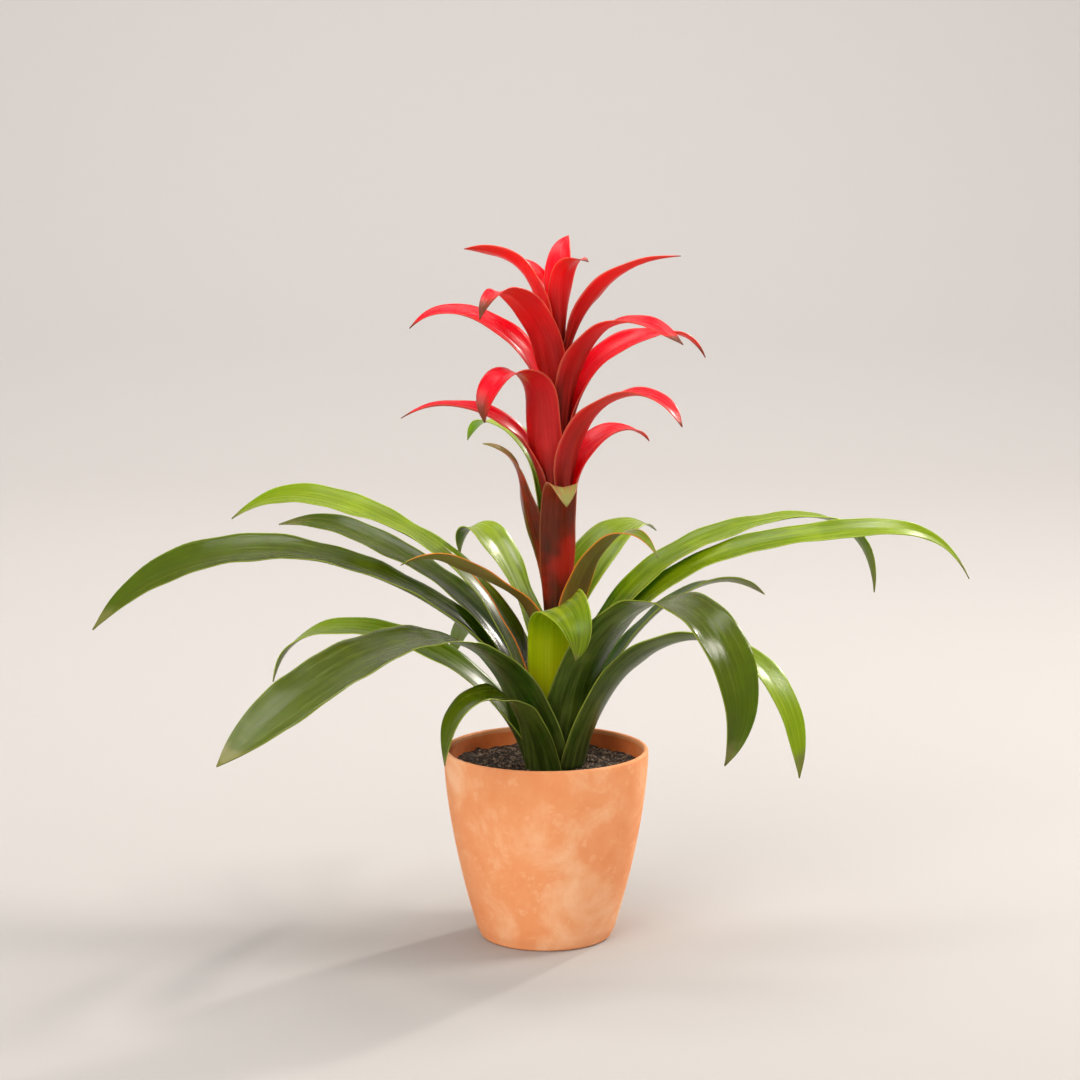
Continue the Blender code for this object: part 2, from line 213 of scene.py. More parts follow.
LEAF_FINISHES = {
    # the darkest colours near this finish's base are painted shade where the sheaths crowd at the rosette's
    # foot
    "deep": Finish([(0, "#2e3a0a"), (0.18, "#283404"), (0.55, "#374002"), (0.9, "#4a5604")],
                   "#566404", "#7c8430", 0.03, 0.20, 0.30, GREEN_GLOW, OLD_TIP, None),
    "bright": Finish([(0, "#8c9010"), (0.2, "#4e6006"), (0.6, "#667a04"), (0.92, "#7a8e06")],
                     "#90a40c", "#98a440", 0.03, 0.29, 0.40, GREEN_GLOW, OLD_TIP, None),
    # this finish's bright yellow-green is painted glow, standing in for light shining through the blade; it
    # is worn on both faces
    "glowing": Finish([(0, "#c0b410"), (0.35, "#a6b206"), (0.7, "#6c8006"), (0.95, "#566806")],
                      "#b4c00c", "#98a43a", 0.03, 0.30, 0.55, GREEN_GLOW, OLD_TIP, None),
    "turning": Finish([(0, "#4a2a10"), (0.3, "#5e4416"), (0.5, "#566010"), (0.9, "#6a7a16")],
                      "#8a8c20", "#d9772c", 0.06, 0.28, 0.35, GREEN_GLOW, OLD_TIP, None),
    # the undersides' colours are darkened as painted shade, darkest at the base where the sheaths crowd
    "under": Finish([(0, "#2e3c12"), (0.2, "#35420e"), (0.5, "#4a5410"), (0.9, "#646e18")],
                    "#74823a", "#7e8438", 0.03, 0.32, 0.35, GREEN_GLOW, OLD_TIP, None),
    "under_turning": Finish([(0, "#5a3218"), (0.45, "#7a5a2c"), (0.9, "#8a7c46")],
                            "#8a6a3a", "#d9772c", 0.06, 0.45, 0.35, GREEN_GLOW, OLD_TIP, None),
}

print(len(LEAF_FINISHES), "leaf finishes")

# %% [markdown]
# Bracts are coloured leaves with thinner wax, so they look satin rather than glossy. The showy ones are an
# even scarlet that glows against the light, with paler, duller undersides. Those on the lower stalk are
# mahogany with patches of red, and one at the collar is still green.

# %% Bract finishes
BRACT_FINISHES = {
    "red": Finish([(0, "#42180c"), (0.12, "#7e0a10"), (0.3, "#d4021a"), (0.85, "#e6041e")],
                  "#f01024", "#bc4a38", 0.03, 0.28, 0.6, RED_GLOW, RED_TIP, None),
    "red_under": Finish([(0, "#3e1c0e"), (0.25, "#8c1a16"), (0.6, "#c41a20"), (0.95, "#a83a2e")],
                        "#c83430", "#b05a44", 0.06, 0.40, 0.6, RED_GLOW, RED_TIP, None),
    "stem_bract": Finish([(0, "#2c1a0c"), (0.45, "#4a2212"), (0.75, "#6a2a18"), (0.93, "#7a7a40")],
                         "#74301e", "#8e5a3a", 0.05, 0.30, 0.45, RED_GLOW, OLIVE_TIP, "#a8261a"),
    "stem_bract_in": Finish([(0, "#33200e"), (0.5, "#6a2416"), (0.8, "#9c8a50"), (0.95, "#8f9a54")],
                            "#b04030", "#a86a48", 0.05, 0.28, 0.45, RED_GLOW, OLIVE_TIP, None),
    "green_bract": Finish([(0, "#5a6a1c"), (0.4, "#7c9422"), (0.9, "#8fa42a")],
                          "#a0b038", "#98a050", 0.04, 0.34, 0.45, GREEN_GLOW, OLIVE_TIP, None),
}
NAMES = {"deep": "leaf_wax_deep_green", "bright": "leaf_wax_fresh_green", "glowing": "leaf_wax_young_green",
         "turning": "leaf_wax_turning", "under": "leaf_underside", "under_turning": "leaf_underside_turning",
         "red": "bract_scarlet", "red_under": "bract_underside", "stem_bract": "bract_mahogany",
         "stem_bract_in": "bract_mahogany_inside", "green_bract": "bract_green"}
all_finishes = {**LEAF_FINISHES, **BRACT_FINISHES}
finishes = {key: blade_finish(NAMES[key], finish) for key, finish in all_finishes.items()}
print(len(finishes), "blade finishes")

# %% [markdown]
# ## The blades
# The rosette is grown from a table. Leaf sheaths sit inside one another like rings, so a blade's layer says
# how far out and how high it starts. Its midrib then follows five slopes from base to tip, and across it
# the blade is an arc: tight round the stem at first, opening to a shallow trough. These are the same
# dimensions that the CAD model uses.

# %% Blade dimensions
SOIL_TOP = 119.0 * MM
AXIS_X = 6.0 * MM
LEAN = 0.0081
LEAF_THICKNESS = 0.7
BRACT_THICKNESS = 0.6
SHEATH_REACH = 50
SHEATH_SHARE = 0.22
CLASP_ANGLE = 70
TIP_SHARE = 0.02
SHEATH_FADE = 1.5
TIP_OPENING = 0.5
FLATTEST_ARC = 0.02
OUTER_LAYER_RADIUS, LAYER_STEP = 21.2 * MM, 1.25 * MM
OUTER_LAYER_HEIGHT, FOOT_CONE_SLOPE = -5.0 * MM, 3.4
TIERS = {"stem": (90, 8.8, 1.1), "collar": (158, 11.2, 1.1), "low": (168, 9.2, 1.1),
         "mid": (225, 8.2, 1.1), "top": (275, 6.5, 0.9)}
TIER_RISE = 2.0 * MM

Blade = namedtuple(
    "Blade", "name radius height azimuth length width pitch sweep roll taper channel flare reach finish")


def leaf(name, layer, *shape, reach=SHEATH_REACH, finish="deep"):
    return Blade("leaf_" + name, OUTER_LAYER_RADIUS - layer * LAYER_STEP,
                 OUTER_LAYER_HEIGHT + layer * LAYER_STEP * FOOT_CONE_SLOPE, *shape, 30, 0.15, reach, finish)


def bract(name, tier, layer, *shape, reach=SHEATH_REACH, finish="red"):
    height, outer, step = TIERS[tier]
    prefix = "stem_bract_" if tier == "stem" else "bract_"
    return Blade(prefix + name, (outer - layer * step) * MM, height * MM + layer * TIER_RISE, *shape,
                 45, -0.40, reach, finish)


print("bract tiers:", ", ".join(TIERS))


# %% Leaves: name, layer, azimuth, length, half width, slopes, sweep, twists, taper
LEAVES = [
    # leaves on the left
    leaf("left_long", 3, 175, 395, 22, (85, 40, 15, -15, -50), -10, (-5, -60), 5),
    leaf("left_back_long", 4, 146, 290, 15, (85, 50, 25, 15, -15), 0, (0, -40), 5),
    leaf("left_high", 5, 155, 338, 19, (85, 56, 25, 6, -35), -10, (5, -50), 4, finish="bright"),
    leaf("left_short", 6, 180, 150, 15, (85, 80, 65, 50, 40), -5, (-10, 5), 4, finish="turning"),
    leaf("left_inner", 9, 205, 195, 12, (90, 85, 35, 25, -15), 20, (5, 45), 3, finish="turning"),
    leaf("left_low", 1, 175, 240, 18, (75, 45, 20, -10, -75), -15, (-10, -5), 6, finish="bright"),
    leaf("front_left_broad", 2, 230, 380, 20, (80, 35, 0, -15, -20), 10, (-10, -30), 8),
    leaf("front_curled", 0, 245, 195, 13, (75, 50, 15, -10, -90), -5, (-20, 30), 6),
    # leaves on the right
    leaf("right_long", 5, 5, 400, 14, (85, 45, 10, -5, -50), 45, (20, 65), 2.5, finish="bright"),
    leaf("right_arched", 6, 20, 335, 14, (85, 55, 20, -5, -90), -5, (10, -15), 6, finish="bright"),
    leaf("right_slim", 3, 10, 200, 17, (85, 60, 45, 15, -35), 15, (-10, -15), 6, finish="bright"),
    leaf("right_low", 1, 330, 275, 16, (80, 52, 10, -45, -90), -10, (-15, 20), 6, finish="bright"),
    leaf("right_inner", 10, 320, 200, 12, (85, 85, 60, 20, -40), -25, (-10, 25), 2.5, reach=90,
         finish="turning"),
    leaf("front_right_broad", 4, 305, 320, 20, (85, 50, 15, -50, -125), 5, (0, 20), 6),
    # leaves round the middle
    leaf("front_folded", 7, 265, 170, 17.5, (85, 82, 50, -10, -120), 45, (15, 45), 6, finish="glowing"),
    leaf("back_right", 11, 50, 190, 17, (90, 80, 45, 15, -30), 5, (20, 10), 4.5, reach=110, finish="bright"),
    leaf("back_flopped", 8, 135, 185, 19, (90, 75, 55, 35, -90), -5, (25, -20), 6, reach=80, finish="bright"),
    # leaves at the back
    leaf("back_low", 0, 95, 260, 15, (75, 30, -5, -35, -60), 10, (0, 0), 5),
    leaf("back_right_low", 1, 70, 180, 12, (80, 45, 20, -10, -40), 5, (0, 0), 5),
    leaf("back_left_low", 2, 115, 240, 13, (80, 40, 10, -25, -50), -10, (0, 0), 5),
]
print(len(LEAVES), "leaves")

# %% Bracts: name, tier, layer, then as for leaves
BRACTS = [
    bract("front", "stem", 0, 280, 132, 13, (90, 90, 88, 60, -75), 0, (0, 0), 10, reach=65,
          finish="stem_bract"),
    bract("left", "stem", 1, 168, 145, 12, (90, 82, 75, 75, 10), 30, (35, -25), 5, finish="stem_bract"),
    bract("right", "stem", 2, 10, 70, 7, (90, 90, 90, 85, 80), 0, (0, 0), 3, finish="stem_bract"),
    bract("collar_green", "collar", 0, 140, 130, 12, (85, 80, 40, 5, -60), -10, (5, 0), 5,
          finish="green_bract"),
    bract("collar_back", "collar", 1, 80, 110, 9, (85, 80, 50, 15, -35), 5, (0, 0), 4),
    bract("low_back_right", "low", 0, 25, 105, 14, (80, 80, 45, 5, -45), 5, (10, 0), 5),
    bract("low_right", "low", 1, 330, 155, 17, (85, 80, 45, 0, -60), 0, (0, 5), 5),
    bract("low_left", "low", 2, 185, 145, 12, (80, 70, 35, 5, -30), 0, (-15, 0), 4),
    bract("low_front", "low", 3, 225, 155, 14, (80, 80, 80, -15, -100), -20, (20, -40), 6),
    bract("mid_back_right", "mid", 0, 20, 145, 12, (80, 65, 25, 0, -60), 0, (20, -10), 4),
    bract("mid_right", "mid", 1, 325, 150, 15, (85, 75, 40, -5, -30), -5, (0, 20), 4),
    bract("mid_left", "mid", 2, 175, 145, 14, (80, 70, 40, 10, -45), 5, (-20, -15), 4),
    bract("mid_front", "mid", 3, 235, 160, 12, (85, 80, 45, 15, -60), 5, (20, 0), 6),
    bract("mid_back", "mid", 1, 110, 80, 8, (80, 75, 50, 15, -30), -5, (0, 0), 4),
    bract("top_left", "top", 0, 190, 110, 13, (80, 80, 65, 25, 0), 5, (10, 35), 4),
    bract("top_right", "top", 1, 345, 115, 12, (75, 65, 45, 20, 5), 0, (-20, -10), 3),
    bract("top_back_left", "top", 2, 135, 85, 10, (85, 85, 65, 35, 5), 0, (5, 0), 4),
    bract("top_front", "top", 3, 300, 90, 10, (85, 90, 85, 25, -10), 0, (0, 0), 5),
    bract("top_back", "top", 4, 95, 90, 10, (85, 85, 75, 45, 20), -30, (0, 0), 5),
]
print(len(BRACTS), "bracts")

# %% [markdown]
# A blade is a flat grid that is bent into place. The grid operator supplies the rows and columns, and each
# point is moved to where the blade's midrib, trough and twist put it. Real margins are never quite
# straight, so they get a slight wave that grows towards the free end, seeded by the blade's name.

# %% Follow a midrib
STEPS = 192
TRIM = 0.997              # the fine blade ends just inside the plain one


def spline(stations, share):
    """Smooth curve through evenly spaced values."""
    knots = np.asarray(stations, float)
    x = np.clip(share, 0, 1) * (len(knots) - 1)
    i = np.minimum(x.astype(int), len(knots) - 2)
    f = x - i
    before, after = knots[np.maximum(i - 1, 0)], knots[np.minimum(i + 2, len(knots) - 1)]
    a, b = knots[i], knots[i + 1]
    return 0.5 * (2 * a + (b - before) * f + (2 * before - 5 * a + 4 * b - after) * f ** 2
                  + (3 * a - before - 3 * b + after) * f ** 3)


def heading(blade, share):
    slope = np.radians(np.minimum(spline(blade.pitch, share), 90))
    turn = np.radians(blade.azimuth + blade.sweep * share ** 2)
    return np.stack([np.cos(slope) * np.cos(turn), np.cos(slope) * np.sin(turn), np.sin(slope)], 1)


def midrib(blade):
    steps = heading(blade, (np.arange(STEPS) + 0.5) / STEPS) * (blade.length * MM * TRIM / STEPS)
    out = radians(blade.azimuth)
    start = np.array([AXIS_X + LEAN * blade.height, 0, SOIL_TOP + blade.height])
    start = start + blade.radius * np.array([cos(out), sin(out), 0])
    return np.vstack([start, start + np.cumsum(steps, 0)])


print("tip of", LEAVES[0].name, "in mm:", [round(float(v) / MM) for v in midrib(LEAVES[0])[-1]])

# %% Work out a blade's surface
MARGIN_WAVE = 1.6 * MM    # height of the wave along the margins
KEEL = 0.5 * MM           # depth of the crease along the middle
KEEL_WIDTH = 0.16         # half width of that crease, in half widths
LONG_WAVE = 11            # mm of blade to each radian of the long wave
SHORT_WAVE = 5.3          # and of the short ripple on it
RIPPLE = 0.6              # the ripple's height as a share of the long wave's
WAVE_LAG = 1.5            # radians by which the margins are ahead of or behind the middle


def blade_surface(blade, rows, columns):
    share = np.linspace(0, 1, rows + 1)
    along = heading(blade, share)
    turn = np.radians(blade.azimuth + blade.sweep * share ** 2)
    level = np.stack([-np.sin(turn), np.cos(turn), np.zeros_like(turn)], 1)
    upper = np.cross(along, level)
    twist = np.radians(spline((0,) + blade.roll, share))[:, None]
    across = level * np.cos(twist) + upper * np.sin(twist)
    upper = upper * np.cos(twist) - level * np.sin(twist)

    flare = 1 + blade.flare * np.clip(1 - share / SHEATH_SHARE, 0, 1) ** SHEATH_FADE
    half_width = blade.width * MM * flare * np.maximum(1 - share ** blade.taper, TIP_SHARE)
    clasp = np.clip(1 - share * blade.length / blade.reach, 0, 1)
    clasp = clasp * clasp * (3 - 2 * clasp)
    widest = blade.radius * radians(CLASP_ANGLE)
    half_width = half_width * (1 - clasp) + np.minimum(half_width, widest) * clasp
    trough = radians(blade.channel) * (1 - TIP_OPENING * share)
    half_angle = np.maximum(half_width / blade.radius * clasp + trough * (1 - clasp), FLATTEST_ARC)

    place = np.linspace(-1, 1, columns + 1)
    radius = (half_width / half_angle)[:, None]
    angle = half_angle[:, None] * place[None, :]
    seed = sum(ord(letter) for letter in blade.name)
    free = (1 - clasp) * np.minimum(share * 2, 1)
    wave = np.sin(share[:, None] * blade.length / LONG_WAVE + seed + place[None, :] * WAVE_LAG)
    wave = wave + RIPPLE * np.sin(share[:, None] * blade.length / SHORT_WAVE + seed * 2.7)
    wave = wave * MARGIN_WAVE * 0.5 * np.abs(place[None, :]) ** 3 * free[:, None]
    crease = KEEL * np.exp(-(place[None, :] / KEEL_WIDTH) ** 2) * free[:, None]
    wave = (wave - crease) * (half_width / half_width.max())[:, None]
    sideways = (radius * np.sin(angle))[:, :, None] * across[:, None, :]
    rise = (radius * (1 - np.cos(angle)) + wave)[:, :, None] * upper[:, None, :]
    centre = midrib(blade)[np.arange(rows + 1) * (STEPS // rows)]
    return centre[:, None, :] + sideways + rise


print("grid of", LEAVES[0].name, "as rows, columns and coordinates:", blade_surface(LEAVES[0], 64, 14).shape)

# %% Make a blade piece
def finish_piece(name, bm, materials, node, smooth=True):
    """A bmesh becomes a piece that rides on the frame and stands for a CAD node."""
    mesh = bpy.data.meshes.new(name)
    bm.to_mesh(mesh)
    bm.free()
    for material in materials:
        mesh.materials.append(material)
    mesh.polygons.foreach_set("use_smooth", [smooth] * len(mesh.polygons))
    piece = bpy.data.objects.new(name, mesh)
    bpy.context.scene.collection.objects.link(piece)
    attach(piece, "root")
    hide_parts(node)
    return piece


def make_blade(blade, rows, columns, thickness, top, under):
    surface = blade_surface(blade, rows, columns)
    bm = bmesh.new()
    bmesh.ops.create_grid(bm, x_segments=columns, y_segments=rows, size=0.5)
    share_map = bm.loops.layers.uv.new("share")
    real_map = bm.loops.layers.uv.new("real")
    for face in bm.faces:
        for loop in face.loops:
            u, v = loop.vert.co.x + 0.5, loop.vert.co.y + 0.5
            loop[share_map].uv = (u, v)
            loop[real_map].uv = ((u - 0.5) * blade.width / 50, v * blade.length / 100)
    for vert in bm.verts:
        vert.co = surface[round((vert.co.y + 0.5) * rows)][round((vert.co.x + 0.5) * columns)]
    bmesh.ops.reverse_faces(bm, faces=bm.faces)
    piece = finish_piece("visual_" + blade.name, bm, [top, under], blade.name)
    wall = piece.modifiers.new("blade thickness", "SOLIDIFY")
    wall.thickness = thickness * MM
    wall.offset = 0
    wall.material_offset = 1
    return piece


# %% Grow the leaves
# the glowing finish, a painted glow, is worn on both faces of its blade
LEAF_UNDER = {"turning": "under_turning", "glowing": "glowing"}
for blade in LEAVES:
    under = finishes[LEAF_UNDER.get(blade.finish, "under")]
    make_blade(blade, 64, 14, LEAF_THICKNESS, finishes[blade.finish], under)
print("grew", len(LEAVES), "leaves")

# %% [markdown]
# Bracts are the showy leaves of the flower stalk. They are softer than the leaves, saturated red, browner
# where they join the stalk, and light from behind makes them glow. The lowest three, wrapped round the
# stalk, are still mahogany brown.

# %% Grow the bracts
UNDER = {"red": "red_under", "stem_bract": "stem_bract_in", "green_bract": "green_bract"}
for blade in BRACTS:
    top, under = finishes[blade.finish], finishes[UNDER[blade.finish]]
    if blade.finish == "stem_bract":
        top, under = under, top
    make_blade(blade, 48, 12, BRACT_THICKNESS, top, under)
print("grew", len(BRACTS), "bracts")

# %% [markdown]
# ## Stem
# Only slivers of the stem show between the bracts, so a turned profile is enough. It is fibrous and brown,
# with a little green where it is youngest.

# %% Stem finish and shape
STEM_SIDES = 32
STEM_OUTLINE = [
    (-9.7, 19.4), (-4.5, 19.6), (10, 15.4), (24, 11.2), (34, 7.4), (42, 6.0), (84, 5.6),
    (88, 6.2), (92, 5.0), (152, 5.0), (157, 6.4), (166, 6.2), (171, 4.5), (219, 4.2),
    (224, 5.0), (229, 3.7), (271, 3.4), (275, 4.4), (283, 1.9), (298, 1.2),
]


def stem_finish():
    material, tree, shader = new_material("stem_fibre")
    place = add(tree, "TexCoord", output="Object")
    drawn = add(tree, "Mapping", {"Vector": place, "Scale": (900, 900, 40)})
    fibres = add(tree, "TexNoise", {"Vector": drawn, "Scale": 1.0, "Detail": 4})
    base = add(tree, "ValToRGB", {0: fibres}, [(0.3, "#23160a"), (0.55, "#3c2a12"), (0.8, "#5a4a1e")])
    tree.links.new(base, shader.inputs["Base Color"])
    shader.inputs["Roughness"].default_value = 0.6
    bump = add(tree, "Bump", {"Height": fibres, "Strength": 0.5, "Distance": 0.3 * MM})
    tree.links.new(bump, shader.inputs["Normal"])
    return material


def spun(outline, sides):
    """A closed solid of revolution: the outline's points, (radius, height), are joined and spun round Z."""
    bm = bmesh.new()
    verts = [bm.verts.new((radius, 0, height)) for radius, height in outline]
    edges = [bm.edges.new(pair) for pair in zip(verts, verts[1:])]
    bmesh.ops.spin(bm, geom=verts + edges, cent=(0, 0, 0), axis=(0, 0, 1), angle=2 * pi, steps=sides,
                   use_merge=True)
    bmesh.ops.remove_doubles(bm, verts=bm.verts, dist=0.00005)
    bmesh.ops.recalc_face_normals(bm, faces=bm.faces)
    return bm


outline = [(0, STEM_OUTLINE[0][0])] + [(r, z) for z, r in STEM_OUTLINE] + [(0, STEM_OUTLINE[-1][0])]
stem = spun([(r * MM, z * MM) for r, z in outline], STEM_SIDES)
for vert in stem.verts:
    vert.co.x += AXIS_X + LEAN * vert.co.z
    vert.co.z += SOIL_TOP
finish_piece("visual_stem", stem, [stem_finish()], "stem")
print("turned the stem")

# %% [markdown]
# ## Clay pot
# The pot is plain slip-cast clay, fired without a glaze. Its outside is a soft orange with paler clouds
# where minerals have dried, and its inside is painted redder and darker, as painted shade inside the rim.
# Fine grit keeps it matt. A lathe profile spun round the axis makes it, with a rounded lip and foot.

# %% Pot finish
CLAY_GRIT_MM = 0.6
CLAY_CLOUD_MM = 45
CLAY_PATCH_MM = 9


def clay_finish(name, dark, middle, pale, grit_strength):
    material, tree, shader = new_material(name)
    place = add(tree, "TexCoord", output="Object")
    clouds = add(tree, "TexNoise", {"Vector": place, "Scale": 1000 / CLAY_CLOUD_MM, "Detail": 6,
                                    "Roughness": 0.6, "Distortion": 0.4})
    patches = add(tree, "TexNoise", {"Vector": place, "Scale": 1000 / CLAY_PATCH_MM, "Detail": 5,
                                     "Roughness": 0.7})
    grit = add(tree, "TexNoise", {"Vector": place, "Scale": 1000 / CLAY_GRIT_MM, "Detail": 2})
    base = add(tree, "ValToRGB", {0: clouds}, [(0.34, dark), (0.5, middle), (0.66, pale)])
    bloom = add(tree, "MapRange", {0: patches, 1: 0.54, 2: 0.68, 3: 0, 4: 0.45}, **SOFT)
    base = add(tree, "Mix", {0: bloom, 1: base, 2: pale}, **TINT)
    pits = add(tree, "MapRange", {0: grit, 1: 0.3, 2: 0.5, 3: 0.3, 4: 0}, **SOFT)
    base = add(tree, "Mix", {0: pits, 1: base, 2: dark}, **TINT)
    tree.links.new(base, shader.inputs["Base Color"])
    shader.inputs["Roughness"].default_value = 0.78
    shader.inputs["IOR"].default_value = 1.5
    soft = add(tree, "Bump", {"Height": patches, "Strength": 0.3, "Distance": 0.4 * MM})
    bump = add(tree, "Bump", {"Height": grit, "Strength": grit_strength, "Distance": 0.15 * MM,
                              "Normal": soft})
    tree.links.new(bump, shader.inputs["Normal"])
    return material


print("clay: clouds", CLAY_CLOUD_MM, "mm, patches", CLAY_PATCH_MM, "mm, grit", CLAY_GRIT_MM, "mm")

# %% Pot shape
POT_HEIGHT, RIM, FOOT, WALL, FLOOR = 131, 70, 45.5, 3.6, 5
BELLY = 1.65
LIP_ROUND, FOOT_ROUND = 1.7, 3.0


def outside(height):
    return FOOT + (RIM - FOOT) * (1 - (1 - height / POT_HEIGHT) ** BELLY)


profile = [(0, 0)] + [(outside(0) - FOOT_ROUND + FOOT_ROUND * sin(t), FOOT_ROUND * (1 - cos(t)))
                      for t in np.linspace(0, pi / 2, 6)]
profile += [(outside(z), z) for z in np.linspace(6, POT_HEIGHT - 3, 30)]
lip = outside(POT_HEIGHT) - WALL / 2
profile += [(lip + LIP_ROUND * cos(t), POT_HEIGHT - LIP_ROUND + LIP_ROUND * sin(t))
            for t in np.linspace(0, pi, 11)]
profile += [(outside(z) - WALL, z) for z in np.linspace(POT_HEIGHT - 3, FLOOR + 2, 24)]
profile += [(outside(FLOOR) - WALL - 3, FLOOR), (0, FLOOR)]
pot = spun([(r * MM, z * MM) for r, z in profile], 128)
clay_out = clay_finish("clay_dry_outside", "#ea925a", "#ee9e68", "#f6bc8e", 0.35)
# the inside's darker, redder clay is painted shade inside the rim
clay_in = clay_finish("clay_damp_inside", "#dc6a2c", "#ea7c3a", "#f09a5e", 0.4)
for face in pot.faces:
    centre = face.calc_center_median()
    inward = Vector((centre.x, centre.y, 0)).dot(face.normal) < 0
    face.material_index = int(inward and centre.z < (POT_HEIGHT - 2.5) * MM)
finish_piece("visual_pot", pot, [clay_out, clay_in], "pot")
print("threw the pot:", POT_HEIGHT, "mm high")

# %% [markdown]
# ## Potting soil
# The soil is peat and bark: a dark crumbly bed with brown fibres and crumbs lying on it. The bed is a disc
# whose points are pushed up and down by noise at three sizes. The crumbs are a few hundred small stones
# with only twenty faces each, and thin slivers for the fibres, all joined into the same piece.

# %% Soil finish
LUMP_MM, GRAIN_MM = 2.4, 1.1


def soil_finish(name, dark, middle, pale):
    material, tree, shader = new_material(name)
    place = add(tree, "TexCoord", output="Object")
    lumps = add(tree, "TexNoise", {"Vector": place, "Scale": 1000 / LUMP_MM, "Detail": 6, "Roughness": 0.7})
    grains = add(tree, "TexVoronoi", {"Vector": place, "Scale": 1000 / GRAIN_MM})
    base = add(tree, "ValToRGB", {0: lumps}, [(0.36, dark), (0.54, middle), (0.74, pale)])
    tree.links.new(base, shader.inputs["Base Color"])
    shader.inputs["Roughness"].default_value = 0.92
    rough = add(tree, "Bump", {"Height": lumps, "Strength": 0.8, "Distance": 0.8 * MM})
    bump = add(tree, "Bump", {"Height": grains, "Strength": 0.5, "Distance": 0.4 * MM, "Normal": rough})
    tree.links.new(bump, shader.inputs["Normal"])
    return material


print("soil: lumps", LUMP_MM, "mm, grains", GRAIN_MM, "mm")

# %% Soil bed
BED_RADIUS = 65.6         # just inside the pot wall at the soil's level
BED_RINGS = 34
generator = np.random.default_rng(7)


def soil_height(x, y):
    """Height of the soil in mm at a point in mm."""
    swell = noise.noise(Vector((x / 28, y / 28, 3.1))) * 1.2
    clods = noise.noise(Vector((x / 7, y / 7, 8.4))) * 2.0
    crumbs = noise.noise(Vector((x / 2.2, y / 2.2, 5.7))) * 1.3
    return 118.6 + swell + clods + crumbs


bed = bmesh.new()
bmesh.ops.create_circle(bed, cap_ends=False, radius=BED_RADIUS * MM, segments=160)
rim = list(bed.edges)
for ring in range(1, BED_RINGS):
    made = bmesh.ops.extrude_edge_only(bed, edges=rim)["geom"]
    rim = [part for part in made if isinstance(part, bmesh.types.BMEdge)
           and all(vert in made for vert in part.verts)]
    ring_verts = {vert for edge in rim for vert in edge.verts}
    scale = (BED_RADIUS * (1 - ring / BED_RINGS)) / (BED_RADIUS * (1 - (ring - 1) / BED_RINGS))
    bmesh.ops.scale(bed, vec=(scale, scale, 1), verts=list(ring_verts))
bmesh.ops.contextual_create(bed, geom=rim)
for vert in bed.verts:
    vert.co.z = soil_height(vert.co.x / MM, vert.co.y / MM) * MM
bmesh.ops.recalc_face_normals(bed, faces=bed.faces)
print("soil bed:", len(bed.faces), "faces")

# %% Crumbs and fibres
CRUMBS, FIBRES = 900, 320


def scatter(low, high):
    """A random place on the bed, clear of the plant's foot."""
    while True:
        x, y = generator.uniform(-BED_RADIUS, BED_RADIUS, 2)
        if np.hypot(x, y) < BED_RADIUS - 2.5 and np.hypot(x - 6, y) > low and generator.random() < high:
            return x, y


for index in range(CRUMBS):
    x, y = scatter(20, 1)
    size = generator.uniform(0.4, 1.0) ** 2 * 3.4
    turn = Matrix.Rotation(generator.uniform(0, 2 * pi), 4, Vector(generator.normal(size=3)).normalized())
    shape = Matrix.Diagonal((*generator.uniform(0.5, 1.2, 3), 1))
    place = Matrix.Translation(Vector((x, y, soil_height(x, y) + size * 0.15)) * MM)
    made = bmesh.ops.create_icosphere(bed, subdivisions=1, radius=size * MM / 2, matrix=place @ turn @ shape)
    for face in {face for vert in made["verts"] for face in vert.link_faces}:
        face.material_index = 1 + index % 2
for index in range(FIBRES):
    x, y = scatter(20, 1)
    length = generator.uniform(2.5, 8)
    tilt = Matrix.Rotation(generator.uniform(-0.35, 0.35), 4, "Y")
    turn = Matrix.Rotation(generator.uniform(0, 2 * pi), 4, "Z")
    shape = Matrix.Diagonal((length, generator.uniform(0.3, 0.8), generator.uniform(0.2, 0.5), 1))
    place = Matrix.Translation(Vector((x, y, soil_height(x, y) + 0.35)) * MM)
    made = bmesh.ops.create_cube(bed, size=MM, matrix=place @ turn @ tilt @ shape)
    for face in {face for vert in made["verts"] for face in vert.link_faces}:
        face.material_index = 2
soils = [soil_finish("peat_bed", "#18120d", "#3c2e24", "#786450"),
         soil_finish("peat_crumbs", "#2a1e16", "#5c4838", "#94806a"),
         soil_finish("bark_fibre", "#5a4434", "#8f7b68", "#b8a48c")]
finish_piece("visual_soil", bed, soils, "soil", smooth=False)
print("scattered", CRUMBS, "crumbs and", FIBRES, "fibres")

# %% [markdown]
# ## Studio
# The floor is one pale sheet that curves up behind the plant, as in any studio, so there is no horizon.
# A warm low sun from behind on the right lights the blades through their backs, which is what makes them
# glow, and its disc is a few degrees wide so that shadows stay soft. The sheet casts no shadow of its own,
# because it would block that sun. A wide panel in front on the left fills the shadows.

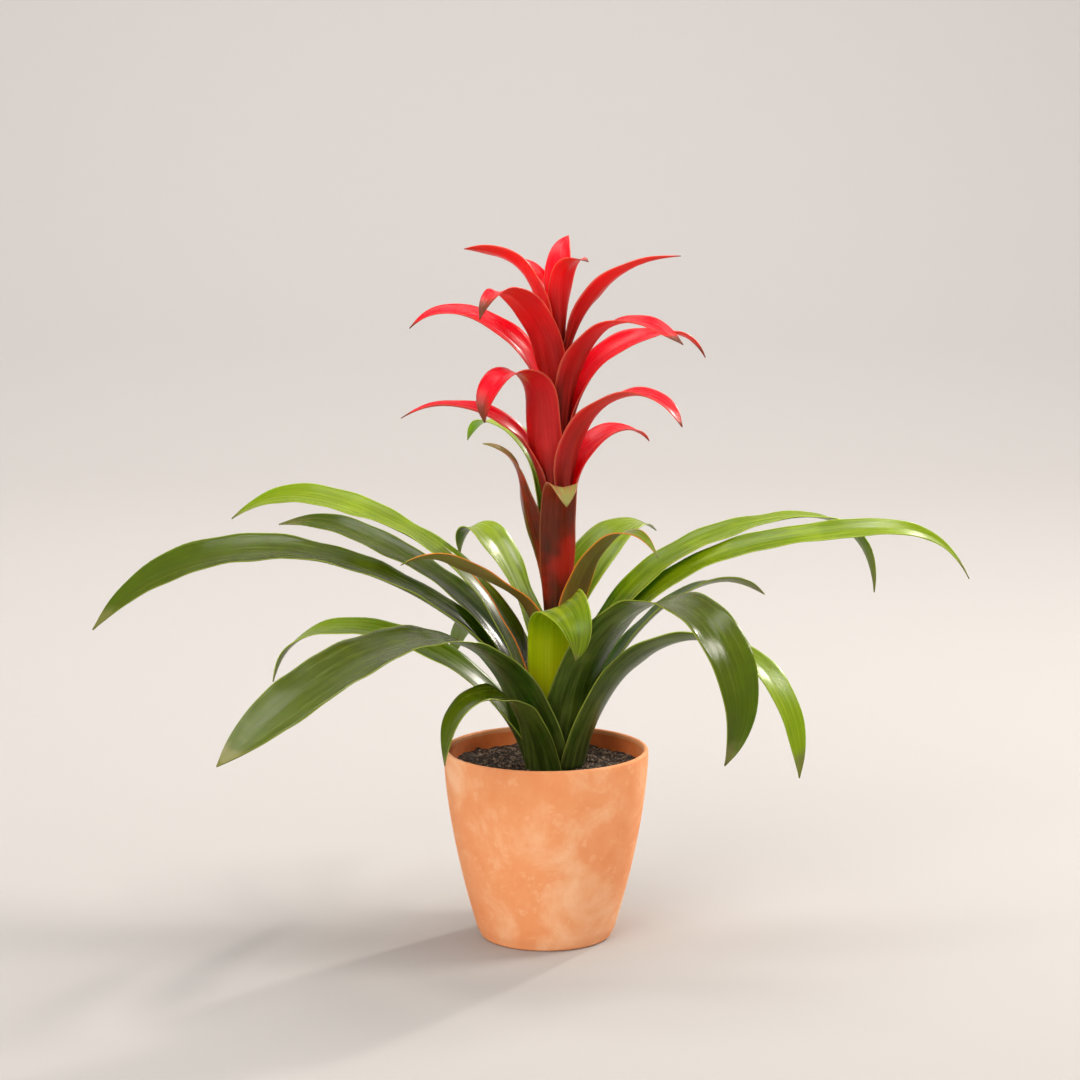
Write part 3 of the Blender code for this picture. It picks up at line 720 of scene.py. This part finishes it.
# %% Floor and backdrop
sweep = bmesh.new()
FLOOR_REACH = 14          # metres from the plant to the sheet's front and side edges
BEND_START, BEND_RADIUS, WALL_HEIGHT = 2.2, 1.0, 5
points = [(-FLOOR_REACH, 0), (BEND_START, 0)]
points += [(BEND_START + BEND_RADIUS * sin(t), BEND_RADIUS * (1 - cos(t)))
           for t in np.linspace(0.1, pi / 2, 14)]
points += [(BEND_START + BEND_RADIUS, WALL_HEIGHT)]
row = [sweep.verts.new((-FLOOR_REACH, y, z)) for y, z in points]
edges = [sweep.edges.new(pair) for pair in zip(row, row[1:])]
made = bmesh.ops.extrude_edge_only(sweep, edges=edges)["geom"]
far_row = [part for part in made if isinstance(part, bmesh.types.BMVert)]
bmesh.ops.translate(sweep, vec=(2 * FLOOR_REACH, 0, 0), verts=far_row)
bmesh.ops.recalc_face_normals(sweep, faces=sweep.faces)
mesh = bpy.data.meshes.new("studio_floor")
sweep.to_mesh(mesh)
sweep.free()
mesh.polygons.foreach_set("use_smooth", [True] * len(mesh.polygons))
floor = bpy.data.objects.new("studio_floor", mesh)
bpy.context.scene.collection.objects.link(floor)
paper, tree, shader = new_material("studio_paper")
shader.inputs["Base Color"].default_value = colour("#a9a6a4")
shader.inputs["Roughness"].default_value = 0.9
mesh.materials.append(paper)
floor.visible_shadow = False
print("floor sheet:", 2 * FLOOR_REACH, "m wide")


# %% Lamps
def lamp(name, place, target, size, power, tint):
    data = bpy.data.lights.new(name, "AREA")
    data.size = size
    data.energy = power
    data.color = colour(tint)[:3]
    item = bpy.data.objects.new(name, data)
    item.location = place
    item.rotation_euler = (Vector(target) - Vector(place)).to_track_quat("-Z", "Y").to_euler()
    bpy.context.scene.collection.objects.link(item)


lamp("fill", (-1.3, -2.2, 1.5), (0, 0, 0.25), 1.8, 58, "#fffaf4")
lamp("backdrop", (0, 0.8, 3.2), (0, 3.2, 1.6), 2.5, 135, "#fffbf8")
lamp("sheen", (1.4, 0.2, 1.6), (0.1, -0.1, 0.25), 0.5, 26, "#fff8ee")
sun = bpy.data.lights.new("key", "SUN")
sun.energy = 1.55
sun.angle = radians(4)
sun.color = colour("#fff6ec")[:3]
key = bpy.data.objects.new("key", sun)
key.rotation_euler = Vector((-0.62, -0.78, -0.47)).to_track_quat("-Z", "Y").to_euler()
bpy.context.scene.collection.objects.link(key)
world = bpy.data.worlds.new("studio_air")
world.use_nodes = True
world.node_tree.nodes["Background"].inputs["Color"].default_value = colour("#f4f1ee")
world.node_tree.nodes["Background"].inputs["Strength"].default_value = 0.75
bpy.context.scene.world = world
bpy.context.scene.view_settings.view_transform = "Standard"
print("lit by three panels, a sun and pale air")
